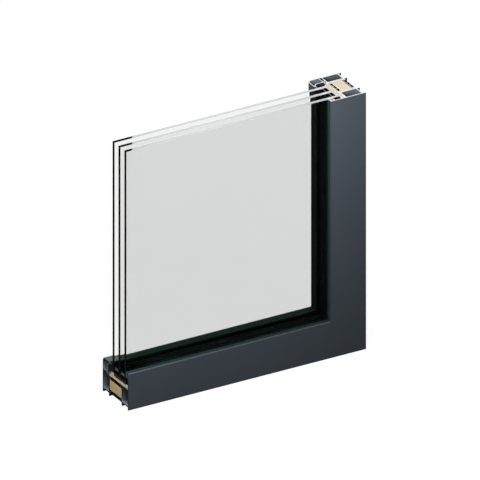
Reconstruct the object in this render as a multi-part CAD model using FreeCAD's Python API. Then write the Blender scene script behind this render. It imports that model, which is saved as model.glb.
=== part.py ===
"""Corner sample of a fixed window: thermally broken aluminium frame with triple glazing.

The sill and the jamb share one section and meet in a mitre. The section is drawn as
(depth, height): depth runs from the outdoor face to the indoor face, height runs from the
perimeter towards the glass. Lengths are in millimetres. The sample stands on the sill lips,
with its origin at the bottom centre, X along the sill, Y towards indoors and Z up the jamb.
"""
import math
import os

import FreeCAD
import Part

# Whole sample
sample_width = 417.0
sample_height = 436.5
frame_depth = 78.2
face_width = 62.0

# Aluminium halves, one outdoors and one indoors
metal_depth = 20.8
metal_wall = 2.0
lip_height = 5.0
flange_height = 27.0
chamber_round = 1.2
tip_round = 1.6

# Claws that crimp the insulating strips
claw_depth = 3.0
claw_wall = 1.1
crimp_clearance = 0.05

# Insulating strips between the halves
strip_foot = 3.8
strip_neck = 2.8
strip_body = 4.8
strip_wall = 0.5
strip_web = 1.0
strip_end = 1.8
strip_round = 0.4
strip_chambers = 3
core_gap = 0.4

# Flange and its gasket groove
groove_width = 5.0
groove_depth = 2.8
groove_leg = 1.5
groove_nib = 0.8
gasket_foot = 1.4
gasket_clearance = 0.1
gasket_cap = 1.0
gasket_overhang = 1.2
gasket_round = 0.7

# Glass unit
pane_thickness = 6.0
pane_gap = 12.0
pane_cover = 17.0
pane_front = 8.0
pane_setback = 1.1
seal_height = 6.0
spacer_height = 6.5
spacer_wall = 0.8

# Packer and foam under the glass
packer_height = 3.2
foam_tip_width = 3.5
foam_tip_height = 1.2
foam_slope_end = 2.5
foam_lip_inset = 1.2

# Glazing bead and the rails that hold it
bead_slot = 3.0
bead_wall = 1.6
bead_drop = 3.1
bead_round = 7.0
bead_rail_gap = 0.8
bead_neck_height = 7.5
bead_tip_gap = 6.0
bead_tip_wall = 1.8
bead_seam = 0.2
bead_arm_length = 4.0
bead_arm_drop = 2.4
rail_wall = 1.4
rail_nib = 1.7
rail_nib_wall = 1.2
bead_toe_wall = 1.2
bead_hook = 0.8
bead_toe_clearance = 0.2
bead_foot_place = 3.5
bead_foot_wall = 1.2

# Wedge gasket between glass and bead
wedge_lip = 2.6
wedge_back = 0.8

# Corner cleats inside the metal chambers
cleat_reach = 36.0
cleat_clearance = 0.2
cleat_wall = 4.0

# Places that follow from the sizes above
rebate_height = face_width - flange_height
left_end = -sample_width / 2
right_side = sample_width / 2
front_face = -frame_depth / 2
break_front = metal_depth
break_back = frame_depth - metal_depth
claw_half = strip_foot / 2 + claw_wall
outer_strip_height = lip_height + claw_half
inner_strip_height = rebate_height - claw_half
pane_edge = face_width - pane_cover
pane_step = pane_thickness + pane_gap
pane_back = pane_front + 2 * pane_step + pane_thickness
bead_seat = rebate_height + bead_slot
bead_top = face_width - bead_drop
rail_back = break_back + metal_wall
bead_front = rail_back + rail_nib + bead_rail_gap
bead_tip = pane_back + bead_tip_gap


def outline(*corners):
    """Flat face through (depth, height) corners. A third number rounds that corner."""
    points = [FreeCAD.Vector(corner[0], corner[1], 0) for corner in corners]
    stretches = []
    for index, corner in enumerate(corners):
        point = points[index]
        back = (points[index - 1] - point).normalize()
        ahead = (points[(index + 1) % len(points)] - point).normalize()
        if len(corner) == 2:
            stretches.append((point, point, None))
            continue
        radius = corner[2]
        half_angle = back.getAngle(ahead) / 2
        reach = radius / math.tan(half_angle)
        inward = (back + ahead).normalize()
        middle = point + inward * (radius / math.sin(half_angle) - radius)
        stretches.append((point + back * reach, point + ahead * reach, middle))
    edges = []
    for index, (start, end, middle) in enumerate(stretches):
        if middle is not None:
            edges.append(Part.Arc(start, middle, end).toShape())
        following = stretches[(index + 1) % len(stretches)][0]
        edges.append(Part.makeLine(end, following))
    return Part.Face(Part.Wire(edges))


def plate(depth_from, depth_to, height_from, height_to):
    """Upright rectangle in the section."""
    return outline((depth_from, height_from), (depth_to, height_from),
                   (depth_to, height_to), (depth_from, height_to))


def rounded_plate(depth_from, depth_to, height_from, height_to, radius):
    """Rectangle in the section with four equal round corners."""
    return outline((depth_from, height_from, radius), (depth_to, height_from, radius),
                   (depth_to, height_to, radius), (depth_from, height_to, radius))


def extruded(section, length):
    """One solid bar from the plates of a section."""
    bars = [plate.extrude(FreeCAD.Vector(0, 0, length)) for plate in section]
    return bars[0].multiFuse(bars[1:]).removeSplitter()


def claws(base, way, height):
    """Pair of dovetail claws round a strip foot, on the face at depth base."""
    tip = base + way * claw_depth
    pair = []
    for side in (-1, 1):
        foot = height + side * (strip_foot / 2 + crimp_clearance)
        neck = height + side * (strip_neck / 2 + crimp_clearance)
        outer = height + side * claw_half
        pair.append(outline((base, foot), (tip, neck), (tip, outer), (base, outer)))
    return pair


def chamber(depth_from, depth_to):
    """Closed box of one metal half, with the two lips that reach the perimeter."""
    box = plate(depth_from, depth_to, lip_height, rebate_height)
    hollow = rounded_plate(depth_from + metal_wall, depth_to - metal_wall,
                           lip_height + metal_wall, rebate_height - metal_wall, chamber_round)
    front_lip = plate(depth_from, depth_from + metal_wall, 0, lip_height)
    back_lip = plate(depth_to - metal_wall, depth_to, 0, lip_height)
    return [box.cut(hollow), front_lip, back_lip]


def groove_places():
    """Heights and depths of the gasket groove behind the flange tip."""
    hook = face_width - gasket_cap
    top = hook - groove_leg
    bottom = top - groove_width
    back = metal_wall + groove_depth
    return bottom, top, hook, back


def outer_profile():
    """Outdoor half: chamber, flange over the glass edge and the gasket groove."""
    bottom, top, hook, back = groove_places()
    flange = outline((0, rebate_height), (metal_wall, rebate_height), (metal_wall, top), (back, top),
                     (back, hook), (metal_wall, hook), (metal_wall, face_width),
                     (0, face_width, tip_round))
    leg = plate(metal_wall, back, bottom - groove_leg, bottom)
    low_nib = plate(back - groove_leg, back, bottom, bottom + groove_nib)
    high_nib = plate(back - groove_leg, back, top - groove_nib, top)
    plates = chamber(0, break_front) + [flange, leg, low_nib, high_nib]
    for height in (outer_strip_height, inner_strip_height):
        plates += claws(break_front, 1, height)
    return plates


def inner_profile():
    """Indoor half: chamber, the rail that the glazing bead clips on and the rail it rests on."""
    back_rail_top = bead_seat - bead_seam
    front_rail_top = bead_seat + rail_nib_wall
    front_rail = plate(break_back, rail_back, rebate_height, front_rail_top)
    front_nib = plate(rail_back, rail_back + rail_nib, front_rail_top - rail_nib_wall,
                      front_rail_top)
    back_rail = plate(frame_depth - rail_wall, frame_depth, rebate_height, back_rail_top)
    plates = chamber(break_back, frame_depth) + [front_rail, front_nib, back_rail]
    for height in (outer_strip_height, inner_strip_height):
        plates += claws(break_back, -1, height)
    return plates


def strip(height):
    """Insulating strip with dovetail feet and a row of hollow chambers."""
    body_front = break_front + claw_depth
    body_back = break_back - claw_depth
    body = plate(body_front, body_back, height - strip_body / 2, height + strip_body / 2)
    hollow = strip_body / 2 - strip_wall
    pitch = (body_back - body_front - 2 * strip_end + strip_web) / strip_chambers
    for index in range(strip_chambers):
        start = body_front + strip_end + index * pitch
        body = body.cut(rounded_plate(start, start + pitch - strip_web,
                                      height - hollow, height + hollow, strip_round))
    feet = []
    for base, tip in ((break_front, body_front), (break_back, body_back)):
        feet.append(outline((base, height - strip_foot / 2), (tip, height - strip_neck / 2),
                            (tip, height + strip_neck / 2), (base, height + strip_foot / 2)))
    return [body] + feet


def perimeter_strip():
    """Strip near the wall side of the frame."""
    return strip(outer_strip_height)


def rebate_strip():
    """Strip under the glass."""
    return strip(inner_strip_height)


def core_foam():
    """Insulation between the two strips, from one metal half to the other."""
    high = inner_strip_height - claw_half
    block = plate(break_front, break_back, outer_strip_height + claw_half + core_gap, high)
    tongue = plate(break_front + claw_depth, break_back - claw_depth, high,
                   inner_strip_height - strip_body / 2)
    return [block, tongue]


def rebate_foam():
    """Insulation under the packer, with a tip outdoors and a lip under the inner pane."""
    floor = rebate_height
    top = pane_edge - packer_height
    inner_pane_front = pane_back - pane_thickness
    return [outline((metal_wall, floor), (break_back, floor), (break_back, floor + foam_slope_end),
                    (pane_back - foam_lip_inset, pane_edge), (inner_pane_front, pane_edge),
                    (inner_pane_front, top), (metal_wall + foam_tip_width, top),
                    (metal_wall, top + foam_tip_height))]


def glazing_packer():
    """Strip that carries the outer and the middle pane."""
    return [plate(pane_front, pane_back - pane_thickness, pane_edge - packer_height, pane_edge)]


def outer_gasket():
    """Outdoor glazing gasket: a foot in the flange groove, a head against the pane and a cap."""
    bottom, top, hook, back = groove_places()
    foot_front = metal_wall + gasket_clearance
    foot = plate(foot_front, foot_front + gasket_foot - 2 * gasket_clearance,
                 bottom + gasket_clearance, top - gasket_clearance)
    neck = plate(foot_front, back + gasket_clearance, bottom + groove_nib + gasket_clearance,
                 top - groove_nib - gasket_clearance)
    head_front = back + gasket_clearance
    cap_low = hook + gasket_clearance
    head = outline((head_front, bottom - groove_leg), (pane_front, bottom - groove_leg, gasket_round),
                   (pane_front, face_width + gasket_overhang, gasket_round),
                   (foot_front, face_width), (foot_front, cap_low), (head_front, cap_low))
    return [head, neck, foot]


def glazing_bead():
    """Hollow clip-in bead with a round indoor corner and an arm under the wedge gasket."""
    neck = bead_top - bead_neck_height
    tip_low = bead_top - bead_tip_wall
    shell = outline((bead_front, bead_seat), (frame_depth, bead_seat),
                    (frame_depth, bead_top, bead_round), (bead_tip, bead_top),
                    (bead_tip, tip_low), (bead_front, neck))
    hollow = shell.makeOffset2D(-bead_wall)
    arm_end = bead_tip - bead_arm_length
    arm = outline((bead_tip, bead_top), (arm_end, bead_top - bead_arm_drop),
                  (arm_end, tip_low - bead_arm_drop), (bead_tip, tip_low))
    toe_front = rail_back + rail_nib - bead_hook
    toe_top = bead_seat - bead_toe_clearance
    front_leg = plate(bead_front, bead_front + bead_wall, toe_top - bead_toe_wall, bead_seat)
    toe = plate(toe_front, bead_front, toe_top - bead_toe_wall, toe_top)
    foot_front = bead_front + bead_foot_place
    foot = plate(foot_front, foot_front + bead_foot_wall, rebate_height + bead_toe_clearance, bead_seat)
    return [shell.cut(hollow), arm, front_leg, toe, foot]


def wedge_gasket():
    """Indoor glazing gasket, pressed between the inner pane and the arm of the bead."""
    arm_end = bead_tip - bead_arm_length
    low = bead_top - bead_arm_drop
    return [outline((pane_back, low), (arm_end, low), (bead_tip, bead_top),
                    (bead_tip, bead_top + wedge_back), (arm_end, bead_top + wedge_lip),
                    (pane_back, bead_top + wedge_lip - wedge_back))]


def edge_seal(gap_front):
    """Sealant that closes the rim of one gap of the glass unit."""
    return [plate(gap_front, gap_front + pane_gap, pane_edge, pane_edge + seal_height)]


def spacer(gap_front):
    """Hollow spacer bar between two panes, on the sealant."""
    low = pane_edge + seal_height
    bar = plate(gap_front, gap_front + pane_gap, low, low + spacer_height)
    hollow = plate(gap_front + spacer_wall, gap_front + pane_gap - spacer_wall,
                   low + spacer_wall, low + spacer_height - spacer_wall)
    return [bar.cut(hollow)]


mitre_reach = 2 * face_width
mitre_margin = 1.0


def mitre_zone(*corners):
    """Block that holds one side of the mitre, from (x, z) corners."""
    points = [FreeCAD.Vector(x, front_face - mitre_margin, z) for x, z in corners]
    face = Part.Face(Part.makePolygon(points + points[:1]))
    return face.extrude(FreeCAD.Vector(0, frame_depth + 2 * mitre_margin, 0))


def sill_run(section, setback=0.0):
    """Section run along the sill to the mitre, from its cut end or set back from it."""
    zone = mitre_zone((left_end - mitre_margin, -mitre_margin),
                      (right_side + mitre_margin, -mitre_margin),
                      (right_side - mitre_reach, mitre_reach),
                      (left_end - mitre_margin, mitre_reach))
    bar = extruded(section, sample_width - setback)
    turn = FreeCAD.Rotation(FreeCAD.Vector(1, 1, 1), 120)
    bar.Placement = FreeCAD.Placement(FreeCAD.Vector(left_end + setback, front_face, 0), turn)
    return bar.common(zone)


def jamb_run(section, setback=0.0):
    """Section run up the jamb from the mitre, to its cut end or set back from it."""
    top = sample_height + mitre_margin
    zone = mitre_zone((right_side + mitre_margin, -mitre_margin),
                      (right_side + mitre_margin, top),
                      (right_side - mitre_reach, top),
                      (right_side - mitre_reach, mitre_reach))
    bar = extruded(section, sample_height - setback)
    turn = FreeCAD.Rotation(FreeCAD.Vector(0, 0, 1), 90)
    bar.Placement = FreeCAD.Placement(FreeCAD.Vector(right_side, front_face, 0), turn)
    return bar.common(zone)


def pane(front):
    """One sheet of glass, from the sample's left end to the jamb and up to the top cut."""
    left = left_end + pane_setback
    width = right_side - pane_edge - left
    corner = FreeCAD.Vector(left, front_face + front, pane_edge)
    return Part.makeBox(width, pane_thickness, sample_height - pane_edge, corner)


def corner_cleat(chamber_front):
    """Angle with open pockets in the chambers of one metal half, which ties the mitre."""
    front = chamber_front + metal_wall + cleat_clearance
    back = chamber_front + metal_depth - metal_wall - cleat_clearance
    low = lip_height + metal_wall + cleat_clearance
    high = rebate_height - metal_wall - cleat_clearance
    end = high + cleat_reach
    leg = [rounded_plate(front, back, low, high, chamber_round)]
    angle = sill_run(leg, sample_width - end).fuse(jamb_run(leg, sample_height - end))
    thick = (low + cleat_wall, high - cleat_wall)
    along = (high + cleat_wall, end - cleat_wall)
    for across, up in ((thick, thick), (along, thick), (thick, along)):
        corner = FreeCAD.Vector(right_side - across[1], front_face + front, up[0])
        pocket = Part.makeBox(across[1] - across[0], back - front, up[1] - up[0], corner)
        angle = angle.cut(pocket)
    return angle.removeSplitter()


def build():
    """All pieces of the sample by name."""
    pieces = {}
    sections = {
        "outer_profile": outer_profile(),
        "inner_profile": inner_profile(),
        "perimeter_strip": perimeter_strip(),
        "rebate_strip": rebate_strip(),
        "core_foam": core_foam(),
        "rebate_foam": rebate_foam(),
        "glazing_packer": glazing_packer(),
        "outer_gasket": outer_gasket(),
        "glazing_bead": glazing_bead(),
        "wedge_gasket": wedge_gasket(),
    }
    for name, section in sections.items():
        pieces["sill_" + name] = sill_run(section)
        pieces["jamb_" + name] = jamb_run(section)
    for index, name in enumerate(("outer", "middle", "inner")):
        pieces[name + "_pane"] = pane(pane_front + index * pane_step)
    for index, name in enumerate(("outer", "inner")):
        gap_front = pane_front + pane_thickness + index * pane_step
        for piece, section in (("edge_seal", edge_seal(gap_front)), ("spacer", spacer(gap_front))):
            pieces["sill_" + name + "_" + piece] = sill_run(section, pane_setback)
            pieces["jamb_" + name + "_" + piece] = jamb_run(section)
    pieces["outer_corner_cleat"] = corner_cleat(0)
    pieces["inner_corner_cleat"] = corner_cleat(break_back)
    return pieces


def main():
    """Write each piece to its own file."""
    os.makedirs("parts", exist_ok=True)
    for name, shape in build().items():
        shape.exportStep("parts/" + name + ".step")


main()
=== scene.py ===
import math

import bpy
from bpy.props import FloatProperty, FloatVectorProperty, IntProperty, PointerProperty
from mathutils import Euler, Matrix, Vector


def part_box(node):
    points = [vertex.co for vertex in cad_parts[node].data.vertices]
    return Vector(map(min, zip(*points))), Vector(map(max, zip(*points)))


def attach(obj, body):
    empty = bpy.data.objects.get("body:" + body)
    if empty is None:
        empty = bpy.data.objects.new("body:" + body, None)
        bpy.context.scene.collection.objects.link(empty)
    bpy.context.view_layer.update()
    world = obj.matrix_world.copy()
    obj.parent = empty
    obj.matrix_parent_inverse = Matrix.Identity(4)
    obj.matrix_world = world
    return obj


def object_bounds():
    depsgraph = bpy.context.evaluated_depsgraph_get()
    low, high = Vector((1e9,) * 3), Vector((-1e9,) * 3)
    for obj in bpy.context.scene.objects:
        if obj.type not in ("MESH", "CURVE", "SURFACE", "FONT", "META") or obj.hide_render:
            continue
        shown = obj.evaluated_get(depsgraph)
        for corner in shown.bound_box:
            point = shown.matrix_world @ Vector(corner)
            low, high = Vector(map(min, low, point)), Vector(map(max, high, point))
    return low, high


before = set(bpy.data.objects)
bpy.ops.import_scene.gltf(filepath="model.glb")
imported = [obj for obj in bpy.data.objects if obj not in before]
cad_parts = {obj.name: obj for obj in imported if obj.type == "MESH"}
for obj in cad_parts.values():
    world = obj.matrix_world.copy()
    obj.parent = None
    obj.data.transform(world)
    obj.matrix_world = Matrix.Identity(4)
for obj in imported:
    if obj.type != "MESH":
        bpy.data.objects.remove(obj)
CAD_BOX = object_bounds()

bl_info = {
    "name": "Fixed window corner sample",
    "version": (1, 0, 0),
    "blender": (4, 5, 0),
    "location": "3D View > Sidebar > Window Sample",
    "description": "Finishes, spacer filling and stage for a cut corner of a fixed window",
    "category": "Object",
}

RUNS = ("sill", "jamb")
GAPS = ("outer", "inner")
PANES = ("outer_pane", "middle_pane", "inner_pane")

# Corners of the sample
LOW = Vector(CAD_BOX[0])
HIGH = Vector(CAD_BOX[1])

# Depths from the outdoor face and heights from the perimeter, alike in sill and jamb
FRAME_DEPTH = HIGH.y - LOW.y
METAL_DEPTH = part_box("sill_rebate_strip")[0].y - LOW.y
PANE_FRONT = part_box("outer_pane")[0].y - LOW.y
INNER_PANE_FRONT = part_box("inner_pane")[0].y - LOW.y
INNER_PANE_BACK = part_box("inner_pane")[1].y - LOW.y
FACE_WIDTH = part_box("sill_outer_profile")[1].z
REBATE_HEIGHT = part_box("sill_rebate_foam")[0].z
PACKER_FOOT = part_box("sill_glazing_packer")[0].z
GASKET_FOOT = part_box("sill_outer_gasket")[0].z
SPACER_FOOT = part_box("sill_outer_spacer")[0].z
BEAD_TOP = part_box("sill_glazing_bead")[1].z

# What a face may lie off its place, and how far a finish reaches past an edge
HAIR = 0.00005
EDGE = 0.0005

# Stretch behind a cut where a finish still changes: the painted light and painted shade near the cuts
# fade out over it
END_NEAR = 0.02
END_FAR = 0.06

# Slant of the dark tips, painted shade, at the left end of the panes' top edges
TIP_SHADE_SLANT = math.radians(30.0)

# Drawing lines on the corner cleats run along the depth
DRAWN_ALONG = (1.0, 0.02, 1.0)

# Smooth rim of the filling's grainy end, as a share of its depth, and its smoothing angle
FILL_RIM = 0.03
FILL_SMOOTH = math.radians(60.0)

# Range that most of a noise lies in
NOISE_LOW = 0.3
NOISE_HIGH = 0.7

# Counts of glass faces between which a mirrored floor and a mirrored backdrop fade
FLOOR_FADE = (1.0, 2.0)
BACKDROP_FADE = (2.0, 4.2)

GLASS_INDEX = 1.5
WHITE = (1.0, 1.0, 1.0)


def colour(label, about, default):
    """Colour property in linear values."""
    return FloatVectorProperty(
        name=label, description=about, default=default, subtype="COLOR", size=3, min=0.0, max=1.0
    )


def length(label, about, default):
    """Length property in metres."""
    return FloatProperty(name=label, description=about, default=default, unit="LENGTH", precision=5)


def power(label, about, default):
    """Lamp power property."""
    return FloatProperty(name=label, description=about, default=default, unit="POWER", min=0.0)


def angle(label, about, degrees):
    """Angle property."""
    return FloatProperty(
        name=label, description=about, default=math.radians(degrees), subtype="ANGLE"
    )


def place(label, about, default):
    """Place in the frame, in metres."""
    return FloatVectorProperty(
        name=label, description=about, default=default, subtype="TRANSLATION", unit="LENGTH", size=3
    )


def share(label, about, default):
    """Property from nothing to all."""
    return FloatProperty(
        name=label, description=about, default=default, subtype="FACTOR", min=0.0, max=1.0
    )


def times(label, about, default):
    """Multiple of a plain tint."""
    return FloatProperty(name=label, description=about, default=default, min=0.0, soft_max=2.0)


class SampleFinishes(bpy.types.PropertyGroup):
    """Colours and grain of the sample's finishes."""

    paint: colour("Paint", "Anthracite powder coat of the aluminium", (0.050, 0.0598, 0.0718))
    paint_gloss: share("Paint gloss", "Gloss of the profiles' coat", 0.03)
    paint_roughness: share("Paint roughness", "Mean roughness of the profiles' coat", 0.55)
    paint_grain: length("Paint grain", "Size of the powder coat's dimples", 0.0011)
    paint_speck: length("Paint speck", "Size of the powder coat's specks", 0.000385)
    paint_drift: length("Paint drift", "Size of the powder coat's paler and darker patches", 0.09)
    sill_bead: colour("Sill bead", "Sill bead where it faces the glass", (0.013, 0.036, 0.024))
    sill_bead_gloss: share("Sill bead gloss", "Gloss of the sill bead's coat", 0.50)
    sill_bead_roughness: share("Sill bead roughness", "Mean roughness of that coat", 0.32)
    jamb_bead: colour("Jamb bead", "Jamb bead where it faces the glass", (0.026, 0.0335, 0.029))
    jamb_bead_gloss: share("Jamb bead gloss", "Gloss of the jamb bead's coat", 0.05)
    jamb_bead_roughness: share("Jamb bead roughness", "Mean roughness of that coat", 0.50)
    chamber: colour("Chamber", "Blue grey primer in the hollow aluminium", (0.067, 0.087, 0.097))
    sawn_alloy: colour("Sawn alloy", "Bright aluminium on the top cut", (0.88, 0.89, 0.90))
    # Painted shade: the sawn alloy of the left cut, near black
    left_cut_shade: colour("Dark end", "Dull aluminium on the left cut", (0.004, 0.005, 0.006))
    saw_pitch: length("Saw pitch", "Distance between saw marks", 0.0009)
    mill_alloy: colour("Mill alloy", "Bare aluminium of the corner cleats", (0.42, 0.43, 0.45))
    mill_line: length("Mill line", "Size of the drawing lines on the cleats", 0.0004)
    mill_stain: length("Mill stain", "Size of the stains on the cleats", 0.012)
    polyamide: colour("Polyamide", "Insulating strips", (0.010, 0.008, 0.006))
    polyamide_fibre: length("Polyamide fibre", "Size of the fibres in the strips", 0.0005)
    # Painted light: paler copies of the strips' and packers' colour for the top cut
    lit_polyamide_cut: colour("Sawn polyamide", "Top cut of the strips", (0.60, 0.59, 0.57))
    lit_packer_cut: colour("Sawn packer", "Top cut of the glazing packers", (0.52, 0.515, 0.48))
    core_foam: colour("Core foam", "Foam between the strips", (0.22, 0.171, 0.092))
    rebate_foam: colour("Rebate foam", "Foam under the glass edge", (0.205, 0.180, 0.114))
    # Painted light: paler copies of the foams' colour for the top cut
    lit_core_cut: colour("Sawn core", "Dusty top cut of the core foam", (0.65, 0.562, 0.452))
    lit_rebate_cut: colour("Sawn rebate", "Dusty top cut of the rebate foam", (0.56, 0.525, 0.465))
    # Painted shade: near black on the foams' hidden sides and in bands round the sill's foam ends
    foam_shade: colour("Foam film", "Dark film on the sides of both foams", (0.008, 0.007, 0.005))
    foam_cell: length("Foam cell", "Size of a foam cell", 0.0006)
    foam_cloud: length("Foam cloud", "Size of the foam's paler and darker patches", 0.004)
    rubber: colour("Rubber", "Wedge gaskets indoors", (0.006, 0.0078, 0.0070))
    grey_rubber: colour("Grey rubber", "Gaskets outdoors", (0.0125, 0.0198, 0.0204))
    # Painted light: a paler copy of the outdoor gasket's rubber for the top cut
    lit_rubber_cut: colour("Sawn rubber", "Top cut of the outdoor gasket", (0.28, 0.305, 0.30))
    rubber_bloom: length("Rubber bloom", "Size of the dull patches on the gaskets", 0.003)
    rubber_grain: length("Rubber grain", "Size of the gaskets' fine grain", 0.0004)
    sealant: colour("Sealant", "Rim seal of the glass unit", (0.0055, 0.0090, 0.0074))
    sealant_lump: length("Sealant lump", "Size of the rim seal's lumps", 0.004)
    spacer: colour("Spacer", "Plastic body of the spacer bars", (0.0055, 0.0090, 0.0074))
    spacer_foil: colour("Spacer foil", "Steel foil on the spacer bars' backs", (0.17, 0.178, 0.175))
    spacer_grain: length("Spacer grain", "Size of the spacer bars' grain", 0.0006)
    glass: colour("Glass", "What one surface of a pane lets through", (0.9357, 0.9382, 0.9374))
    glass_shade: colour("Glass shade", "What it lets through from a lamp", (0.70, 0.74, 0.72))
    glass_edge: colour("Glass edge", "Ground top edge of the panes", (0.80, 0.82, 0.81))
    # Painted shade: near black on the panes' left, right and bottom edges and at the left tip of their
    # top edges
    glass_edge_shade: colour("Dark glass edge", "Left edge of the panes", (0.002, 0.003, 0.003))
    glass_grind: length("Glass grind", "Size of the grinding marks on the panes' edges", 0.0007)
    # Painted shade: the grains near black in the jamb's bars; the next colour is their painted light
    # at the sill's open end
    desiccant: colour("Desiccant", "Grains in the jamb's spacer bars", (0.0015, 0.0020, 0.0018))
    lit_desiccant: colour("Lit desiccant", "Grains at the sill's open end", (0.034, 0.042, 0.039))
    desiccant_dust: length("Desiccant dust", "Size of the dust on the grains", 0.0006)


class SampleTintLevels(bpy.types.PropertyGroup):
    """How many times its plain tint a finish shows: mostly painted light and painted shade, and the
    foams' paler skin and the panes' top edges.
    """

    # Painted shade in the profiles' grooves and slots, the grooves only near the cuts
    groove_shade: times("Groove coat", "Coat in the profiles' grooves and slots", 0.10)
    # Painted shade on the jamb's inner edge, over its lit arris
    arris_shade: times("Arris coat", "Coat on the inner edge of the jamb's face", 0.64)
    # Painted shade on the bead's wall in the rebate, darker upwards, and underneath the beads
    rebate_foot_shade: times("Rebate foot", "Coat low on the beads in the rebate", 0.28)
    rebate_head_shade: times("Rebate head", "Coat high on the beads in the rebate", 0.10)
    under_bead_shade: times("Under bead", "Coat underneath the beads", 0.10)
    # Painted shade on the top cut's bright alloy at a slot
    slot_shade: times("Slot alloy", "Bright alloy of the top cut at a slot", 0.05)
    # Painted daylight and painted shade on the primer in the open end of the sill and of its bead
    light_at_cut: times("Light at the cut", "Daylight in the sill's chambers, at the cut", 1.25)
    light_inside: times("Light inside", "Daylight in the sill's chambers, past its reach", 0.28)
    chamber_floor_light: times("Chamber floor", "Lit primer on the floor of a chamber", 1.9)
    wall_foot_light: times("Wall foot", "Lit primer low on a chamber's walls", 1.7)
    wall_head_light: times("Wall head", "Lit primer high on a chamber's walls", 0.15)
    outdoor_wall_light: times("Outdoor wall", "Outdoor chamber's walls against the indoor one's", 2.0)
    indoor_depth_light: times("Indoor depth", "Primer far inside the indoor chamber", 0.86)
    bead_wall_foot_light: times("Bead wall foot", "Lit primer low in the sill bead", 1.5)
    bead_wall_head_light: times("Bead wall head", "Lit primer high in the sill bead", 0.15)
    bead_inside_light: times("Bead inside", "Primer far inside the beads", 1.4)
    # Painted shade on the strips and packers by the left cut
    end_polyamide_shade: times("End polyamide", "Strips and packers by the left cut", 0.3)
    # Painted shade on the sealant and the spacer plastic by the cuts
    end_plastic_shade: times("End plastic", "Sealant and spacer plastic by the cuts", 0.12)
    # Painted shade on the spacer foil away from the top cut
    foil_shade: times("Hidden foil", "Spacer foil away from the top cut", 0.18)
    foam_pale: times("Foam paleness", "Skin of both foams", 1.20)
    edge_left: times("Left edge", "Panes' top edges at their left end", 0.34)
    edge_right: times("Right edge", "Panes' top edges beside the jamb", 0.60)
    edge_outdoors: times("Outdoor edge", "Outdoor pane's top edge against the indoor one's", 0.83)
    edge_in_jamb: times("Edge in the jamb", "Panes' top edges inside the jamb", 0.69)


class SampleSizes(bpy.types.PropertyGroup):
    """Sizes that the finishes follow, and those of the added filling."""

    metal_wall: length("Metal wall", "Wall of the aluminium halves", 0.0020)
    lip_height: length("Lip height", "Lips along the perimeter", 0.0050)
    bead_depth: length("Bead depth", "Depth of the glazing bead's hollow body", 0.0163)
    bead_wall: length("Bead wall", "Wall of the glazing beads", 0.0016)
    bead_slot: length("Bead slot", "Air between rebate and bead", 0.0030)
    bead_foot: length("Bead foot", "How far the bead's foot reaches into its slot", 0.0050)
    bead_tip: length("Bead tip", "Height of the bead's lip towards the glass", 0.0036)
    bead_round: length("Bead round", "Round corner of the bead, from the indoor face", 0.0060)
    foam_skin: length("Foam skin", "Thickness of the paler skin of both foams", 0.0024)
    # Widths of the bands of painted shade on the sill's foam ends
    shade_rim: length("Film rim", "Width of the dark film round the sill's foam ends", 0.0004)
    core_top_shade: length("Core film", "Width of that film on top of the core foam", 0.0009)
    core_back_shade: length("Core back film", "Width of that film indoors of the core foam", 0.0013)
    under_packer_shade: length("Rebate film", "Width of that film under the glazing packer", 0.0015)
    # Width of a darker band along the outdoor rim of the top cut
    dark_rim: length("Rim dirt", "Dark band on the outdoor rim of the top cut", 0.0012)
    # Reach of the painted shade at the left tip of the panes' top edges
    tip_shade: length("Dark tip", "Dark stretch at the left end of the panes' top edges", 0.0110)
    daylight_reach: length("Daylight reach", "How far daylight shows in the sill's chambers", 0.0080)
    spacer_wall: length("Spacer wall", "Wall of the spacer bars", 0.0008)
    fill_slack: length("Filling slack", "Air between filling and spacer wall", 0.0001)
    fill_setback: length("Filling setback", "Filling behind the cut end", 0.0008)
    # Painted light on the desiccant reaches this height
    lit_height: length("Lit height", "Height of the filling that daylight meets", 0.0037)
    grain_size: length("Grain size", "Width of one desiccant grain", 0.0012)
    grain_relief: length("Grain relief", "Height of the grains at the cut end", 0.0007)
    grain_cuts: IntProperty(
        name="Grain cuts", description="Cuts across the end of a filling", default=22, min=4, max=60
    )


class SampleStage(bpy.types.PropertyGroup):
    """Floor, lamps and camera."""

    floor_size: length("Floor size", "Side of the floor", 16.0)
    floor_gap: length("Floor gap", "Floor below the sill lips", 0.0003)
    floor_colour: colour("Floor", "Colour of the floor under the lamps", (0.05, 0.05, 0.05))
    floor_glow: share("Floor glow", "White that the floor shows by itself", 0.962)
    key_power: power("Key lamp", "Power of the near lamp", 25.6)
    key_place: place("Key place", "Where the near lamp hangs", (-0.164, -0.350, 0.632))
    key_radius: length("Key radius", "Radius of the near lamp", 0.10)
    top_power: power("Top lamp", "Power of the lamp above", 4.2)
    top_place: place("Top place", "Where the lamp above hangs", (0.05, 0.20, 1.60))
    side_power: power("Side lamp", "Power of the small lamp at the left end", 0.66)
    side_place: place("Side place", "Where the small lamp stands", (-0.36, -0.037, 0.13))
    side_size: length("Side size", "Width of the small lamp", 0.03)
    back_power: power("Back lamp", "Power of the lamp behind", 20.0)
    back_place: place("Back place", "Where the lamp behind stands", (0.90, 1.50, 0.75))
    right_power: power("Right lamp", "Power of the lamp at the right", 6.0)
    right_place: place("Right place", "Where the lamp at the right stands", (1.20, 0.10, 0.30))
    lamp_size: length("Lamp size", "Width of the large lamps", 0.8)
    ambient: share("Ambient", "Light from all around", 0.02)
    camera_turn: angle("Camera turn", "Turn about the vertical", -30.0)
    camera_rise: angle("Camera rise", "Height angle", 26.74)
    camera_reach: length("Camera reach", "Distance of the camera", 3.0)
    camera_span: length("Camera span", "Width of the picture", 0.72928)
    camera_across: length("Camera across", "Picture centre along the picture's width", 0.00855)
    camera_up: length("Camera up", "Picture centre along the picture's height", 0.19729)


def finishes():
    """Colours and grain."""
    return bpy.context.scene.sample_finishes


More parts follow.
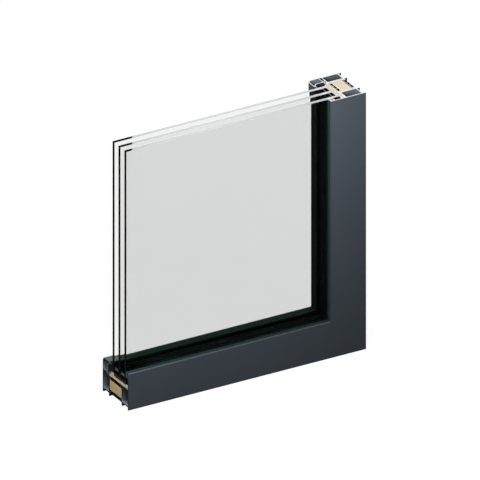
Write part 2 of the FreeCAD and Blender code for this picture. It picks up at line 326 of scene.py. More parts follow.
def tint_levels():
    """Levels of the painted light and painted shade, of the foams' skin and of the panes' top edges.
    """
    return bpy.context.scene.sample_wear


def sizes():
    """Sizes of the finishes and the filling."""
    return bpy.context.scene.sample_sizes


def stage_values():
    """Values of floor, lamps and camera."""
    return bpy.context.scene.sample_stage


def start_finish(name):
    """New material with only its output, and its node tree."""
    material = bpy.data.materials.new(name)
    material.use_nodes = True
    tree = material.node_tree
    tree.nodes.clear()
    tree.nodes.new("ShaderNodeOutputMaterial")
    return material, tree


def put(tree, kind, inputs=None, **settings):
    """Node with its settings, and inputs that are linked or set."""
    node = tree.nodes.new("ShaderNode" + kind)
    for key, value in settings.items():
        setattr(node, key, value)
    for key, value in (inputs or {}).items():
        socket = node.inputs[key]
        if isinstance(value, bpy.types.NodeSocket):
            tree.links.new(value, socket)
        elif socket.type == "RGBA" and len(value) == 3:
            socket.default_value = (*value, 1.0)
        else:
            socket.default_value = value
    return node


def maths(tree, operation, *values):
    """Output of one arithmetic node."""
    return put(tree, "Math", dict(enumerate(values)), operation=operation).outputs[0]


def less(tree, one, other):
    """First value less the second."""
    return maths(tree, "SUBTRACT", one, other)


def both(tree, one, other):
    """Product of two values: one where both are one."""
    return maths(tree, "MULTIPLY", one, other)


def either(tree, one, other):
    """Larger of two values: one where either is one."""
    return maths(tree, "MAXIMUM", one, other)


def nearer(tree, one, other):
    """Smaller of two values."""
    return maths(tree, "MINIMUM", one, other)


def below(tree, value, limit):
    """One where a value is under a limit."""
    return maths(tree, "LESS_THAN", value, limit)


def above(tree, value, limit):
    """One where a value is over a limit."""
    return maths(tree, "GREATER_THAN", value, limit)


def span(tree, value, low, high):
    """One where a value lies between two."""
    return maths(tree, "COMPARE", value, (low + high) / 2, (high - low) / 2)


def off_middle(tree, value, low, high):
    """Distance from the nearer of two limits, for a value between them."""
    away = maths(tree, "ABSOLUTE", less(tree, value, (low + high) / 2))
    return less(tree, (high - low) / 2, away)


def between(tree, value, low, high, to_low, to_high):
    """Value moved from one range to another, held at its ends."""
    inputs = {"Value": value, "From Min": low, "From Max": high, "To Min": to_low, "To Max": to_high}
    return put(tree, "MapRange", inputs, clamp=True).outputs[0]


def rough_by(tree, noise, low, high):
    """Roughness from low to high by a noise."""
    return between(tree, noise, NOISE_LOW, NOISE_HIGH, low, high)


def mixed(tree, part, one, other):
    """Value between two, by part."""
    return put(tree, "Mix", {0: part, 2: one, 3: other}, data_type="FLOAT").outputs[0]


def where(tree, part, level):
    """Level where part is one, and one elsewhere."""
    return mixed(tree, part, 1.0, level)


def blend(tree, part, one, other):
    """Colour between two, by part."""
    return put(tree, "Mix", {0: part, 6: one, 7: other}, data_type="RGBA").outputs[2]


def joined(tree, part, one, other):
    """Shader between two, by part."""
    return put(tree, "MixShader", {0: part, 1: one.outputs[0], 2: other.outputs[0]})


def scaled(tree, tint, level):
    """Colour times a level."""
    scale = put(tree, "CombineColor", {0: level, 1: level, 2: level}).outputs[0]
    inputs = {0: 1.0, 6: tint, 7: scale}
    return put(tree, "Mix", inputs, data_type="RGBA", blend_type="MULTIPLY").outputs[2]


def shaded(tree, tint, grain, low, high):
    """Colour made darker and lighter by a grain."""
    return scaled(tree, tint, between(tree, grain, 0.0, 1.0, low, high))


def show(tree, shader):
    """Shader as the material's surface."""
    output = next(node for node in tree.nodes if node.type == "OUTPUT_MATERIAL")
    tree.links.new(shader.outputs[0], output.inputs["Surface"])


def surface(tree, inputs):
    """Material's surface with these inputs of the common shader."""
    show(tree, put(tree, "BsdfPrincipled", inputs))


class Section:
    """Places on the sample that a finish follows: section depth and height, and the two cuts."""

    def __init__(self, tree):
        self.tree = tree
        self.place = put(tree, "TexCoord").outputs["Object"]
        self.x, self.y, self.z = put(tree, "SeparateXYZ", {0: self.place}).outputs
        self.depth = less(tree, self.y, LOW.y)
        from_side = less(tree, HIGH.x, self.x)
        self.height = nearer(tree, self.z, from_side)
        self.in_jamb = above(tree, self.z, from_side)
        self.top_cut = above(tree, self.z, HIGH.z - HAIR)
        self.left_cut = below(tree, self.x, LOW.x + HAIR)
        self.cut = either(tree, self.top_cut, self.left_cut)

    def box(self, depth, height):
        """One inside a box of the section, given its limits in depth and in height."""
        deep = span(self.tree, self.depth, *depth)
        return both(self.tree, deep, span(self.tree, self.height, *height))

    def near_left(self):
        """One by the left cut, fading along the sill."""
        return between(self.tree, self.x, LOW.x + END_NEAR, LOW.x + END_FAR, 1.0, 0.0)

    def near_top(self):
        """One by the top cut, fading down the jamb."""
        return between(self.tree, self.z, HIGH.z - END_FAR, HIGH.z - END_NEAR, 0.0, 1.0)

    def daylight(self, level):
        """Painted daylight: a level that fades over the first millimetres behind the left cut."""
        start = LOW.x + EDGE
        end = LOW.x + sizes().daylight_reach
        fade = between(self.tree, self.x, start, end, tint_levels().light_at_cut, tint_levels().light_inside)
        return both(self.tree, level, fade)

    def noise(self, size, detail=2.0, rough=0.5):
        """Grain of the given size."""
        inputs = {"Vector": self.place, "Scale": 1.0 / size, "Detail": detail, "Roughness": rough}
        return put(self.tree, "TexNoise", inputs).outputs[0]

    def cells(self, size):
        """Distance within packed cells of the given size."""
        inputs = {"Vector": self.place, "Scale": 1.0 / size}
        return put(self.tree, "TexVoronoi", inputs).outputs["Distance"]

    def bump(self, grain, strength, relief):
        """Surface tilt from a grain."""
        inputs = {"Strength": strength, "Distance": relief, "Height": grain}
        return put(self.tree, "Bump", inputs).outputs[0]


def saw_marks(section):
    """Slightly bowed stripes that a saw leaves on a cut."""
    inputs = {
        "Vector": section.place,
        "Scale": 0.5 / finishes().saw_pitch,
        "Distortion": 2.5,
        "Detail": 2.0,
        "Detail Scale": 1.5,
    }
    wave = put(section.tree, "TexWave", inputs, wave_type="BANDS", bands_direction="DIAGONAL")
    return wave.outputs["Fac"]


def dress(names, material):
    """Material on the CAD nodes of these names."""
    for name in names:
        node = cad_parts[name]
        if not node.material_slots:
            raise RuntimeError(name + " has no material slot")
        for slot in node.material_slots:
            slot.material = material


def runs_of(piece):
    """Node names of one run piece."""
    return [run + "_" + piece for run in RUNS]


class ProfilePlaces:
    """Where the coat of an aluminium half changes."""

    def __init__(self, section):
        values = sizes()
        self.section = section
        self.floor = values.lip_height + values.metal_wall
        self.ceiling = REBATE_HEIGHT - values.metal_wall
        self.bead_seat = REBATE_HEIGHT + values.bead_slot

    def hollow(self):
        """One inside the closed chambers of both halves."""
        section = self.section
        tree = section.tree
        wall = sizes().metal_wall
        from_face = nearer(tree, section.depth, less(tree, FRAME_DEPTH, section.depth))
        deep = span(tree, from_face, wall - HAIR, METAL_DEPTH - wall + HAIR)
        return both(tree, deep, span(tree, section.height, self.floor - HAIR, self.ceiling + HAIR))

    def primer_light(self):
        """Painted daylight and shade on the primer in the open end of the sill, fading upwards and
        inwards.
        """
        section = self.section
        tree = section.tree
        levels = tint_levels()
        outdoors = below(tree, section.depth, FRAME_DEPTH / 2)
        foot = self.floor + sizes().metal_wall
        head = self.ceiling - sizes().metal_wall
        lit = between(tree, section.height, foot, head, levels.wall_foot_light, levels.wall_head_light)
        lit = both(tree, lit, where(tree, outdoors, levels.outdoor_wall_light))
        on_floor = below(tree, section.height, self.floor + EDGE)
        lit = mixed(tree, on_floor, lit, levels.chamber_floor_light)
        inside = mixed(tree, outdoors, levels.indoor_depth_light, 1.0)
        return mixed(tree, section.near_left(), inside, section.daylight(lit))

    def painted_shade(self):
        """Painted shade on the coat in grooves and slots and on the jamb's inner edge, and on the
        bright top cut at the slots.
        """
        section = self.section
        tree = section.tree
        values = sizes()
        levels = tint_levels()
        faces = span(tree, section.depth, EDGE, FRAME_DEPTH - EDGE)
        # Painted shade: the grooves near the cuts, and the bead and glass slots, are darkened
        groove = both(tree, faces, below(tree, section.height, values.lip_height + HAIR))
        groove = both(tree, groove, either(tree, section.near_left(), section.near_top()))
        bead_slot = section.box(
            (FRAME_DEPTH - values.bead_depth + values.bead_foot, FRAME_DEPTH - values.bead_wall),
            (REBATE_HEIGHT - EDGE, self.bead_seat + EDGE),
        )
        glass_slot = section.box(
            (values.metal_wall - EDGE, PANE_FRONT + 2 * EDGE),
            (PACKER_FOOT + EDGE, GASKET_FOOT + 4 * HAIR),
        )
        slot = either(tree, bead_slot, glass_slot)
        coat = where(tree, either(tree, groove, slot), levels.groove_shade)
        # Painted shade on the jamb's inner edge, toning down its lit arris
        inner_edge = above(tree, section.height, FACE_WIDTH - 3 * EDGE)
        arris = both(tree, section.in_jamb, inner_edge)
        coat = both(tree, coat, where(tree, arris, levels.arris_shade))
        return coat, where(tree, slot, levels.slot_shade)


class BeadPlaces:
    """Where the coat of a glazing bead changes."""

    def __init__(self, section):
        values = sizes()
        self.section = section
        self.front = FRAME_DEPTH - values.bead_depth
        self.seat = REBATE_HEIGHT + values.bead_slot
        self.low_light = self.seat + values.bead_slot + 2 * EDGE
        self.high_light = BEAD_TOP - values.bead_round - 2 * EDGE

    def upwards(self, low, high):
        """Value from low to high up the bead's side walls."""
        section = self.section
        return between(section.tree, section.height, self.low_light, self.high_light, low, high)

    def hollow(self):
        """One inside the bead, below its round corner."""
        wall = sizes().bead_wall - 4 * HAIR
        depth = (self.front + wall, FRAME_DEPTH - wall)
        return self.section.box(depth, (self.seat + wall, BEAD_TOP - wall))

    def primer_light(self):
        """Painted daylight and shade on the primer in the open end of the sill bead, fading upwards.
        """
        section = self.section
        levels = tint_levels()
        lit = section.daylight(self.upwards(levels.bead_wall_foot_light, levels.bead_wall_head_light))
        return mixed(section.tree, section.near_left(), levels.bead_inside_light, lit)

    def painted_shade(self):
        """Painted shade on the coat in the rebate and underneath, and on the bright cut underneath."""
        section = self.section
        tree = section.tree
        values = sizes()
        levels = tint_levels()
        # Painted shade: the bead's wall in the rebate darkens upwards, and its underside is dark
        rebate = both(
            tree,
            below(tree, section.depth, self.front + EDGE),
            below(tree, section.height, BEAD_TOP - values.bead_tip),
        )
        under = below(tree, section.height, self.seat + HAIR)
        coat = nearer(
            tree,
            where(tree, rebate, self.upwards(levels.rebate_foot_shade, levels.rebate_head_shade)),
            where(tree, under, levels.under_bead_shade),
        )
        slot = section.box(
            (self.front + values.bead_foot, FRAME_DEPTH - values.bead_wall),
            (0.0, self.seat + EDGE),
        )
        return coat, where(tree, slot, levels.slot_shade)

    def face(self):
        """One on the bead's face towards the glass opening."""
        section = self.section
        tree = section.tree
        flat = below(tree, section.depth, FRAME_DEPTH - sizes().bead_round)
        tip = above(tree, section.height, BEAD_TOP - sizes().bead_tip + EDGE)
        return both(tree, flat, tip)


def coated_finish(name, gloss, roughness, places_kind, face_tint=None):
    """Powder coat, with primer inside, bright alloy on the top cut and near black alloy on the left
    cut, painted shade.
    """
    values = finishes()
    material, tree = start_finish(name)
    section = Section(tree)
    places = places_kind(section)
    grain = section.noise(values.paint_grain, detail=3.0)
    speck = section.noise(values.paint_speck)
    drift = section.noise(values.paint_drift)
    coat = shaded(tree, values.paint, speck, 0.90, 1.10)
    coat = shaded(tree, coat, drift, 0.96, 1.04)
    if face_tint:
        coat = blend(tree, places.face(), coat, shaded(tree, face_tint, speck, 0.90, 1.10))
    # Painted shade in grooves and slots, in the beads' rebate and underneath, on the jamb's inner edge
    # and on the top cut at the slots
    coat_shade, bright_shade = places.painted_shade()
    coat = scaled(tree, coat, coat_shade)
    # Primer in the hollows, with painted daylight and shade in the sill's open end
    primer = shaded(tree, values.chamber, grain, 0.85, 1.15)
    coat = blend(tree, places.hollow(), coat, scaled(tree, primer, places.primer_light()))
    marks = saw_marks(section)
    bright = scaled(tree, shaded(tree, values.sawn_alloy, marks, 0.93, 1.0), bright_shade)
    # Painted shade: the left cut's alloy near black
    shaded_end = shaded(tree, values.left_cut_shade, marks, 0.7, 1.3)
    tint = blend(tree, section.left_cut, coat, shaded_end)
    tint = blend(tree, section.top_cut, tint, bright)
    coat_rough = rough_by(tree, grain, roughness - 0.06, roughness + 0.06)
    cut_rough = between(tree, marks, 0.0, 1.0, 0.38, 0.52)
    dents = mixed(tree, section.cut, grain, marks)
    surface(tree, {
        "Base Color": tint,
        "Metallic": section.top_cut,
        "Roughness": mixed(tree, section.cut, coat_rough, cut_rough),
        "Specular IOR Level": gloss,
        "Normal": section.bump(dents, strength=0.12, relief=0.0002),
    })
    return material


def end_shade(section):
    """Painted shade on a dark plastic's tint by the two cuts."""
    cut = either(section.tree, section.near_left(), section.top_cut)
    return where(section.tree, cut, tint_levels().end_plastic_shade)


def foam_finish(name, tint, sawn, node, shade_boxes):
    """Foam with open cells and a paler skin, a paler top cut with painted light, and painted shade,
    near black, on its hidden sides, round the rim of its left end and in boxes of that end.
    """
    values = finishes()
    low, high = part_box(node)
    material, tree = start_finish(name)
    section = Section(tree)
    across = off_middle(tree, section.y, low.y, high.y)
    up = off_middle(tree, section.height, low.z, high.z)
    inwards = nearer(tree, across, up)
    skin = between(tree, inwards, sizes().foam_skin / 4, sizes().foam_skin, 1.0, 0.0)
    cell = section.cells(values.foam_cell)
    cloud = section.noise(values.foam_cloud, detail=3.0)
    body = shaded(tree, tint, cell, 1.08, 0.86)
    body = shaded(tree, body, cloud, 0.92, 1.08)
    # Painted light: the top cut takes a paler copy of the foam
    dust = shaded(tree, sawn, cloud, 0.92, 1.08)
    foam = blend(tree, section.top_cut, body, dust)
    foam = scaled(tree, foam, where(tree, skin, tint_levels().foam_pale))
    # Painted shade: near black on the hidden sides, in a rim band and in boxes of the left end
    shading = below(tree, inwards, sizes().shade_rim)
    for depth, height in shade_boxes:
        shading = either(tree, shading, section.box(depth, height))
    bare = either(tree, section.top_cut, less(tree, section.left_cut, shading))
    surface(tree, {
        "Base Color": blend(tree, bare, shaded(tree, values.foam_shade, cloud, 0.8, 1.2), foam),
        "Roughness": between(tree, cell, 0.0, 0.8, 0.95, 0.80),
        "Specular IOR Level": 0.10,
        "Normal": section.bump(cell, strength=0.35, relief=0.0003),
    })
    return material


class SAMPLE_OT_profiles(bpy.types.Operator):
    """Powder coat the four aluminium profiles and bare their sawn ends"""

    bl_idname = "sample.profiles"
    bl_label = "Profiles"

    def execute(self, context):
        values = finishes()
        coat = coated_finish(
            "powder_coat", values.paint_gloss, values.paint_roughness, ProfilePlaces
        )
        dress(runs_of("outer_profile") + runs_of("inner_profile"), coat)
        return {"FINISHED"}


class SAMPLE_OT_glazing_beads(bpy.types.Operator):
    """Powder coat the two glazing beads"""

    bl_idname = "sample.glazing_beads"
    bl_label = "Glazing beads"

    def execute(self, context):
        values = finishes()
        for run, gloss, roughness, tint in (
            ("sill", values.sill_bead_gloss, values.sill_bead_roughness, values.sill_bead),
            ("jamb", values.jamb_bead_gloss, values.jamb_bead_roughness, values.jamb_bead),
        ):
            coat = coated_finish(run + "_bead_coat", gloss, roughness, BeadPlaces, tint)
            dress([run + "_glazing_bead"], coat)
        return {"FINISHED"}


class SAMPLE_OT_strips(bpy.types.Operator):
    """Give the insulating strips and the glazing packers their fibre filled polyamide"""

    bl_idname = "sample.strips"
    bl_label = "Insulating strips"

    def execute(self, context):
        values = finishes()
        for name, pieces, sawn in (
            ("polyamide", runs_of("perimeter_strip") + runs_of("rebate_strip"), values.lit_polyamide_cut),
            ("packer_polyamide", runs_of("glazing_packer"), values.lit_packer_cut),
        ):
            material, tree = start_finish(name)
            section = Section(tree)
            fibre = section.noise(values.polyamide_fibre, detail=4.0, rough=0.7)
            body = shaded(tree, values.polyamide, fibre, 0.6, 1.5)
            # Painted shade on the polyamide by the left cut
            body = scaled(tree, body, where(tree, section.near_left(), tint_levels().end_polyamide_shade))
            # Painted light: the top cut takes a paler copy of the polyamide
            cut = shaded(tree, sawn, saw_marks(section), 0.94, 1.0)
            # Darker band along the outdoor rim of the top cut
            paler_level = above(tree, section.depth, PANE_FRONT + sizes().dark_rim)
            pale = both(tree, section.top_cut, paler_level)
            surface(tree, {
                "Base Color": blend(tree, pale, body, cut),
                "Roughness": rough_by(tree, fibre, 0.52, 0.68),
                "Specular IOR Level": 0.05,
                "Normal": section.bump(fibre, strength=0.15, relief=0.0002),
            })
            dress(pieces, material)
        return {"FINISHED"}


class SAMPLE_OT_foams(bpy.types.Operator):
    """Give the core foam and the rebate foam their cells and skins, painted light on their top cut,
    and painted shade on their hidden sides and left ends
    """

    bl_idname = "sample.foams"
    bl_label = "Foams"

    def execute(self, context):
        values = finishes()
        shading = sizes()
        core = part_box("sill_core_foam")[1]
        back = core.y - LOW.y
        core_shade_boxes = (
            ((0.0, back), (core.z - shading.core_top_shade, core.z)),
            ((back - shading.core_back_shade, back), (0.0, core.z)),
        )
        rebate_shade_boxes = (
            ((PANE_FRONT, INNER_PANE_FRONT), (PACKER_FOOT - shading.under_packer_shade, PACKER_FOOT)),
        )
        for piece, tint, sawn, shade_boxes in (
            ("core_foam", values.core_foam, values.lit_core_cut, core_shade_boxes),
            ("rebate_foam", values.rebate_foam, values.lit_rebate_cut, rebate_shade_boxes),
        ):
            cells = foam_finish(piece + "_cells", tint, sawn, "sill_" + piece, shade_boxes)
            dress(runs_of(piece), cells)
        return {"FINISHED"}


class SAMPLE_OT_gaskets(bpy.types.Operator):
    """Give the outdoor gaskets and the wedge gaskets their rubber"""

    bl_idname = "sample.gaskets"
    bl_label = "Gaskets"

    def execute(self, context):
        values = finishes()
        for name, piece, side, end in (
            ("gasket_rubber", "outer_gasket", values.grey_rubber, values.lit_rubber_cut),
            ("wedge_rubber", "wedge_gasket", values.rubber, values.rubber),
        ):
            material, tree = start_finish(name)
            section = Section(tree)
            bloom = section.noise(values.rubber_bloom, detail=4.0, rough=0.6)
            fine = section.noise(values.rubber_grain)
            body = shaded(tree, side, bloom, 0.8, 1.25)
            # Painted light: the outdoor gasket's top cut takes a paler copy of its rubber
            cut = shaded(tree, end, fine, 0.9, 1.1)
            surface(tree, {
                "Base Color": blend(tree, section.top_cut, body, cut),
                "Roughness": rough_by(tree, bloom, 0.62, 0.80),
                "Specular IOR Level": 0.05,
                "Normal": section.bump(fine, strength=0.12, relief=0.0001),
            })
            dress(runs_of(piece), material)
        return {"FINISHED"}


def pane_edge_tint(section, grind):
    """Tint of the panes' edges: black with painted shade at the left, on the hidden edges and at the
    left tip of the top edges, black too on a band at the outdoor rim, and ground and ever paler along
    the top cut.
    """
    values = finishes()
    levels = tint_levels()
    tree = section.tree
    low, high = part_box("outer_pane")
    jamb_side = HIGH.x - FACE_WIDTH
    from_pane = less(tree, section.y, (low.y + high.y) / 2)
    slant = both(tree, from_pane, math.tan(TIP_SHADE_SLANT))
    along = less(tree, less(tree, section.x, low.x), slant)
    tip = sizes().tip_shade
    # Painted shade at the left tip of the top edges and on all the other edges
    pale = between(tree, along, tip, tip + 3 * EDGE, 0.0, 1.0)
    rim = both(
        tree,
        above(tree, section.x, HIGH.x - GASKET_FOOT - EDGE),
        below(tree, section.depth, PANE_FRONT + sizes().dark_rim),
    )
    pale = both(tree, less(tree, pale, rim), section.top_cut)
    free = between(tree, section.x, low.x, jamb_side, levels.edge_left, levels.edge_right)
    indoors = between(
        tree, section.depth, PANE_FRONT, INNER_PANE_BACK, levels.edge_outdoors, 1.0
    )
    in_jamb = above(tree, section.x, jamb_side + 2 * EDGE)
    paler_level = either(tree, both(tree, free, indoors), both(tree, in_jamb, levels.edge_in_jamb))
    ground = shaded(tree, scaled(tree, values.glass_edge, paler_level), grind, 0.94, 1.06)
    return blend(tree, pale, values.glass_edge_shade, ground)


class SAMPLE_OT_panes(bpy.types.Operator):
    """Glaze the three panes, with ground edges"""

    bl_idname = "sample.panes"
    bl_label = "Panes"

    def execute(self, context):
        values = finishes()
        material, tree = start_finish("clear_glass")
        section = Section(tree)
        grind = section.noise(values.glass_grind, detail=3.0)
        edge = put(tree, "BsdfPrincipled", {
            "Base Color": pane_edge_tint(section, grind),
            "Roughness": rough_by(tree, grind, 0.45, 0.60),
            "Specular IOR Level": 0.0,
        })
        clear = put(
            tree, "BsdfRefraction", {"Color": values.glass, "Roughness": 0.0, "IOR": GLASS_INDEX}
        )
        mirror = put(tree, "BsdfGlossy", {"Color": WHITE, "Roughness": 0.0})
        graze = put(tree, "LayerWeight", {"Blend": 0.5}).outputs["Facing"]
        glass = joined(tree, maths(tree, "POWER", graze, 5.0), clear, mirror)
        shade = put(tree, "BsdfTransparent", {"Color": values.glass_shade})
        lamp_ray = put(tree, "LightPath").outputs["Is Shadow Ray"]
        glass = joined(tree, lamp_ray, glass, shade)
        facing = put(tree, "SeparateXYZ", {0: put(tree, "NewGeometry").outputs["Normal"]}).outputs[1]
        on_edge = below(tree, maths(tree, "ABSOLUTE", facing), 0.5)
        show(tree, joined(tree, on_edge, glass, edge))
        dress(PANES, material)
        return {"FINISHED"}


class SAMPLE_OT_edge_seals(bpy.types.Operator):
    """Give the rim seals of the glass unit their sealant"""

    bl_idname = "sample.edge_seals"
    bl_label = "Edge seals"

    def execute(self, context):
        values = finishes()
        material, tree = start_finish("sealant")
        section = Section(tree)
        lump = section.noise(values.sealant_lump, detail=3.0)
        tint = shaded(tree, values.sealant, lump, 0.6, 1.4)
        surface(tree, {
            # Painted shade by the cuts
            "Base Color": scaled(tree, tint, end_shade(section)),
            "Roughness": rough_by(tree, lump, 0.45, 0.65),
            "Specular IOR Level": 0.0,
            "Normal": section.bump(lump, strength=0.3, relief=0.0006),
        })
        dress([name for gap in GAPS for name in runs_of(gap + "_edge_seal")], material)
        return {"FINISHED"}


class SAMPLE_OT_spacers(bpy.types.Operator):
    """Give the spacer bars their dark plastic and the steel foil on their backs"""

    bl_idname = "sample.spacers"
    bl_label = "Spacers"

    def execute(self, context):
        values = finishes()
        material, tree = start_finish("spacer_plastic")
        section = Section(tree)
        foil = below(tree, section.height, SPACER_FOOT + sizes().spacer_wall + HAIR)
        fine = section.noise(values.spacer_grain, detail=3.0)
        # Painted shade by the cuts
        body = scaled(tree, shaded(tree, values.spacer, fine, 0.7, 1.3), end_shade(section))
        steel = shaded(tree, values.spacer_foil, fine, 0.9, 1.1)
        # Painted shade on the foil away from the top cut
        steel = scaled(tree, steel, mixed(tree, section.top_cut, tint_levels().foil_shade, 1.0))
        surface(tree, {
            "Base Color": blend(tree, foil, body, steel),
            "Roughness": rough_by(tree, fine, 0.50, 0.62),
            "Specular IOR Level": 0.0,
            "Normal": section.bump(fine, strength=0.1, relief=0.0001),
        })
        dress([name for gap in GAPS for name in runs_of(gap + "_spacer")], material)
        return {"FINISHED"}


class SAMPLE_OT_corner_cleats(bpy.types.Operator):
    """Give the corner cleats their bare mill alloy"""

    bl_idname = "sample.corner_cleats"
    bl_label = "Corner cleats"

    def execute(self, context):
        values = finishes()
        material, tree = start_finish("mill_alloy")
        section = Section(tree)
        drawn = put(tree, "Mapping", {"Vector": section.place, "Scale": DRAWN_ALONG})
        lines = put(tree, "TexNoise", {
            "Vector": drawn.outputs[0],
            "Scale": 1.0 / values.mill_line,
            "Detail": 3.0,
        }).outputs[0]
        stain = section.noise(values.mill_stain, detail=3.0)
        tint = shaded(tree, values.mill_alloy, lines, 0.9, 1.08)
        surface(tree, {
            "Base Color": shaded(tree, tint, stain, 0.88, 1.05),
            "Metallic": 0.85,
            "Roughness": rough_by(tree, lines, 0.36, 0.52),
            "Normal": section.bump(lines, strength=0.15, relief=0.0001),
        })
        dress([gap + "_corner_cleat" for gap in GAPS], material)
        return {"FINISHED"}


def desiccant_finish():
    """Mineral grains, near black with painted shade, with painted light low at the sill's open end,
    and painted shade darkening each grain towards its rim.
    """
    values = finishes()
    material, tree = start_finish("desiccant_grains")
    section = Section(tree)
    grain = section.cells(sizes().grain_size)
    dust = section.noise(values.desiccant_dust, detail=3.0)
    low = below(tree, section.height, SPACER_FOOT + sizes().lit_height)
    # Painted light low at the sill's open end, painted shade elsewhere and at each grain's rim
    tint = blend(tree, both(tree, section.near_left(), low), values.desiccant, values.lit_desiccant)
    tint = shaded(tree, shaded(tree, tint, grain, 1.4, 0.4), dust, 0.8, 1.2)
    surface(tree, {
        "Base Color": tint,
        "Roughness": rough_by(tree, dust, 0.80, 0.95),
        "Specular IOR Level": 0.0,
        "Normal": section.bump(grain, strength=0.4, relief=0.0004),
    })
    return material


def desiccant_bar(name, low, high):
    """Plain bar from low to high, with its place in its mesh."""
    bpy.ops.object.select_all(action="DESELECT")
    bpy.ops.mesh.primitive_cube_add(size=1.0)
    bar = bpy.context.object
    bar.name = name
    bar.data.name = name
    bpy.ops.object.mode_set(mode="EDIT")
    bpy.ops.transform.resize(value=high - low, center_override=(0.0, 0.0, 0.0))
    bpy.ops.transform.translate(value=(low + high) / 2)
    bpy.ops.mesh.select_mode(type="FACE")
    bpy.ops.mesh.select_all(action="DESELECT")
    bpy.ops.object.mode_set(mode="OBJECT")
    return bar


def raise_grains(bar, low, high, end_axis, end_place):
    """Grains that stand out at one cut end of a bar."""
    values = sizes()
    for face in bar.data.polygons:
        face.select = abs(face.center[end_axis] - end_place) < HAIR
    bpy.ops.object.mode_set(mode="EDIT")
    bpy.ops.mesh.inset(thickness=(high.y - low.y) * FILL_RIM, use_even_offset=True)
    bpy.ops.mesh.subdivide(number_cuts=values.grain_cuts)
    bpy.ops.object.mode_set(mode="OBJECT")
    group = bar.vertex_groups.new(name="cut_end")
    inner = [
        vertex.index for vertex in bar.data.vertices
        if abs(vertex.co[end_axis] - end_place) < HAIR
        and all(
            low[axis] + HAIR < vertex.co[axis] < high[axis] - HAIR
            for axis in range(3) if axis != end_axis
        )
    ]
    group.add(inner, 1.0, "REPLACE")
    grains = bpy.data.textures.new(bar.name + "_grains", "VORONOI")
    grains.noise_scale = values.grain_size
    grains.distance_metric = "DISTANCE"
    push = bar.modifiers.new("grains", "DISPLACE")
    push.texture = grains
    push.texture_coords = "LOCAL"
    push.vertex_group = group.name
    push.direction = "NORMAL"
    push.mid_level = 0.0
    push.strength = -values.grain_relief
    bpy.ops.object.modifier_apply(modifier=push.name)
    bpy.ops.object.shade_smooth_by_angle(angle=FILL_SMOOTH)


def desiccant_fill(name, low, high, end_axis, end_place, material):
    """Packed grains from low to high in a spacer bar, open at one cut end."""
    piece = desiccant_bar(name, low, high)
    raise_grains(piece, low, high, end_axis, end_place)
    piece.data.materials.append(material)
    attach(piece, "root")


class SAMPLE_OT_desiccant(bpy.types.Operator):
    """Fill the hollow spacer bars with desiccant grains"""

    bl_idname = "sample.desiccant"
    bl_label = "Desiccant"

    def execute(self, context):
        values = sizes()
        wall = values.spacer_wall + values.fill_slack
        material = desiccant_finish()
        for gap in GAPS:
            low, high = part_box("sill_" + gap + "_spacer")
            mitre = HIGH.x - high.z
            desiccant_fill(
                "sill_" + gap + "_desiccant",
                Vector((low.x + values.fill_setback, low.y + wall, low.z + wall)),
                Vector((mitre, high.y - wall, high.z - wall)),
                0, low.x + values.fill_setback, material,
            )
            low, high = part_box("jamb_" + gap + "_spacer")
            mitre = HIGH.x - low.x
            desiccant_fill(
                "jamb_" + gap + "_desiccant",
                Vector((low.x + wall, low.y + wall, mitre)),
                Vector((high.x - wall, high.y - wall, high.z - values.fill_setback)),
                2, high.z - values.fill_setback, material,
            )
        return {"FINISHED"}


def seen_by_eye(tree, fade):
    """One for rays from the camera, also after glass, and for mirrored ones until they fade."""
    path = put(tree, "LightPath").outputs
    shallow = between(tree, path["Transmission Depth"], *fade, 1.0, 0.0)
    mirrored = both(tree, path["Is Glossy Ray"], shallow)
    seen = either(tree, path["Is Camera Ray"], mirrored)
    return either(tree, seen, path["Is Transmission Ray"])


def lay_floor(values):
    """Pale floor under the sample."""
    bpy.ops.object.select_all(action="DESELECT")
    bpy.ops.mesh.primitive_plane_add(
        size=values.floor_size, location=(0.0, 0.0, LOW.z - values.floor_gap)
    )
    floor = bpy.context.object
    floor.name = "floor"
    material, tree = start_finish("pale_floor")
    matt = put(tree, "BsdfDiffuse", {"Color": values.floor_colour})
    glow = put(tree, "Emission", {
        "Color": WHITE,
        "Strength": both(tree, seen_by_eye(tree, FLOOR_FADE), values.floor_glow),
    })
    show(tree, put(tree, "AddShader", {0: matt.outputs[0], 1: glow.outputs[0]}))
    floor.data.materials.append(material)


def studio_world(values):
    """White backdrop with little light of its own."""
    world = bpy.data.worlds.new("studio")
    world.use_nodes = True
    tree = world.node_tree
    tree.nodes.clear()
    strength = mixed(tree, seen_by_eye(tree, BACKDROP_FADE), values.ambient, 1.0)
    light = put(tree, "Background", {"Color": WHITE, "Strength": strength})
    tree.links.new(light.outputs[0], put(tree, "OutputWorld").inputs["Surface"])
    return world


def hang_lamp(name, kind, spot, target, watts, size):
    """Lamp that shines from a spot towards its target."""
    way = (Vector(target) - Vector(spot)).to_track_quat("-Z", "Y").to_euler()
    bpy.ops.object.light_add(type=kind, location=spot, rotation=way)
    light = bpy.context.object
    light.name = name
    light.data.energy = watts
    if kind == "AREA":
        light.data.shape = "DISK"
        light.data.size = size
    else:
        light.data.shadow_soft_size = size
    light.visible_glossy = False
    light.visible_transmission = False


def photo_camera(values):
    """Parallel view from the photograph's side."""
    turn = Euler((math.pi / 2 - values.camera_rise, 0.0, values.camera_turn))
    eye = Vector((values.camera_across, values.camera_up, values.camera_reach))
    bpy.ops.object.camera_add(location=turn.to_matrix() @ eye, rotation=turn)
    camera = bpy.context.object
    camera.data.type = "ORTHO"
    camera.data.ortho_scale = values.camera_span
    camera.data.clip_end = 10 * values.camera_reach
    return camera


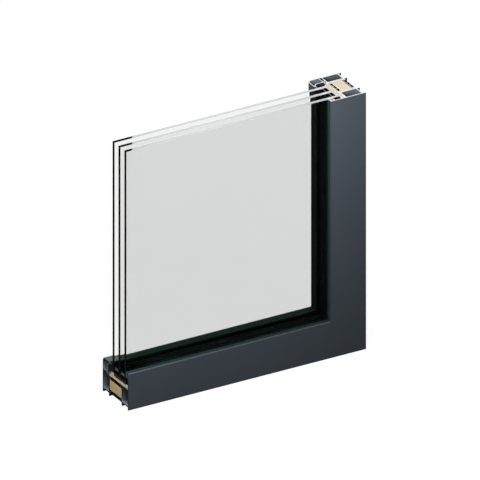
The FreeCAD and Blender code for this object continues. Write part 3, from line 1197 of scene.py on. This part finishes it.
class SAMPLE_OT_stage(bpy.types.Operator):
    """Set the floor, the lamps and the camera"""

    bl_idname = "sample.stage"
    bl_label = "Stage"

    def execute(self, context):
        values = stage_values()
        scene = context.scene
        scene.view_settings.view_transform = "Standard"
        lay_floor(values)
        scene.world = studio_world(values)
        middle = (LOW + HIGH) / 2
        sill_end = Vector((LOW.x, middle.y, REBATE_HEIGHT))
        below_top = Vector((values.top_place[0], values.top_place[1], LOW.z))
        wide = values.lamp_size
        for lamp in (
            ("key_lamp", "POINT", values.key_place, middle, values.key_power, values.key_radius),
            ("top_lamp", "AREA", values.top_place, below_top, values.top_power, wide),
            ("side_lamp", "AREA", values.side_place, sill_end, values.side_power, values.side_size),
            ("back_lamp", "AREA", values.back_place, middle, values.back_power, wide),
            ("right_lamp", "AREA", values.right_place, middle, values.right_power, wide),
        ):
            hang_lamp(*lamp)
        scene.camera = photo_camera(values)
        return {"FINISHED"}


GROUPS = {
    "sample_finishes": SampleFinishes,
    "sample_wear": SampleTintLevels,
    "sample_sizes": SampleSizes,
    "sample_stage": SampleStage,
}

STEPS = (
    SAMPLE_OT_profiles,
    SAMPLE_OT_glazing_beads,
    SAMPLE_OT_strips,
    SAMPLE_OT_foams,
    SAMPLE_OT_gaskets,
    SAMPLE_OT_panes,
    SAMPLE_OT_edge_seals,
    SAMPLE_OT_spacers,
    SAMPLE_OT_corner_cleats,
    SAMPLE_OT_desiccant,
    SAMPLE_OT_stage,
)


class SAMPLE_PT_panel(bpy.types.Panel):
    """Sidebar panel with the sample's values and steps"""

    bl_idname = "SAMPLE_PT_panel"
    bl_label = "Window sample"
    bl_space_type = "VIEW_3D"
    bl_region_type = "UI"
    bl_category = "Window Sample"

    def draw(self, context):
        for name, kind in GROUPS.items():
            values = getattr(context.scene, name)
            box = self.layout.box()
            for key in kind.__annotations__:
                box.prop(values, key)
        for step in STEPS:
            self.layout.operator(step.bl_idname)


CLASSES = (*GROUPS.values(), *STEPS, SAMPLE_PT_panel)


def register():
    """Add the classes and the scene's values."""
    for item in CLASSES:
        bpy.utils.register_class(item)
    for name, kind in GROUPS.items():
        setattr(bpy.types.Scene, name, PointerProperty(type=kind))


def unregister():
    """Take them away again."""
    for name in GROUPS:
        delattr(bpy.types.Scene, name)
    for item in reversed(CLASSES):
        bpy.utils.unregister_class(item)


def main():
    """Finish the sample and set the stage."""
    register()
    bpy.ops.sample.profiles()
    bpy.ops.sample.glazing_beads()
    bpy.ops.sample.strips()
    bpy.ops.sample.foams()
    bpy.ops.sample.gaskets()
    bpy.ops.sample.panes()
    bpy.ops.sample.edge_seals()
    bpy.ops.sample.spacers()
    bpy.ops.sample.corner_cleats()
    bpy.ops.sample.desiccant()
    bpy.ops.sample.stage()


if __name__ == "__main__":
    main()
